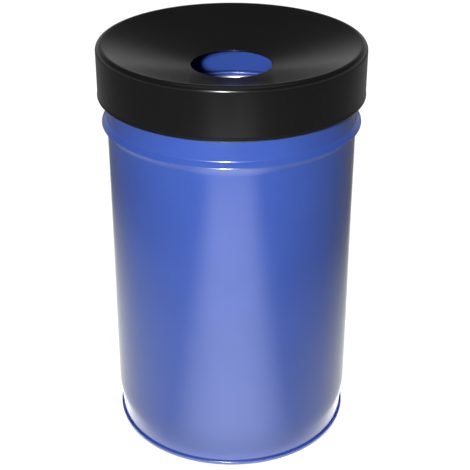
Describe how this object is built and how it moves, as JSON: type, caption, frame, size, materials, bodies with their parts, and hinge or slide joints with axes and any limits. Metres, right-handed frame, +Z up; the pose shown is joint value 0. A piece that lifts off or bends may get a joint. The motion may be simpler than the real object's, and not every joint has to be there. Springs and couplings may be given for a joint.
{
  "type": "self-extinguishing waste bin",
  "caption": "Round sheet-steel waste can with a formed bead and a folded base seam, under a loose dished fire-damping head with a central throw-in hole.",
  "frame": {"origin": "on the floor, on the can's axis", "axes": "+Z up along the can's axis, the front faces -Y, +X to the right seen from the front"},
  "size_m": [0.4012, 0.4012, 0.635],
  "materials": {
    "can_lacquer": "glossy blue stoving lacquer over steel sheet",
    "head_lacquer": "satin black lacquer over pressed steel sheet",
    "plated_steel": "bright zinc plate",
    "bright_wire": "drawn steel wire",
    "pad_rubber": "matt black rubber"
  },
  "bodies": {
    "can": {"can_shell": "can_lacquer", "rim_wire": "bright_wire", "base_pan": "can_lacquer"},
    "head": {"head_cover": "head_lacquer", "rest_bracket_1": "plated_steel", "rest_pad_1": "pad_rubber", "bracket_stud_1": "plated_steel", "bracket_nut_1": "plated_steel", "rest_bracket_2": "plated_steel", "rest_pad_2": "pad_rubber", "bracket_stud_2": "plated_steel", "bracket_nut_2": "plated_steel", "rest_bracket_3": "plated_steel", "rest_pad_3": "pad_rubber", "bracket_stud_3": "plated_steel", "bracket_nut_3": "plated_steel", "rest_bracket_4": "plated_steel", "rest_pad_4": "pad_rubber", "bracket_stud_4": "plated_steel", "bracket_nut_4": "plated_steel"}
  },
  "joints": [
    {"name": "head_lift", "type": "slide", "parent": "can", "child": "head", "axis": [0, 0, 1], "range_m": [0, 0.12]}
  ]
}
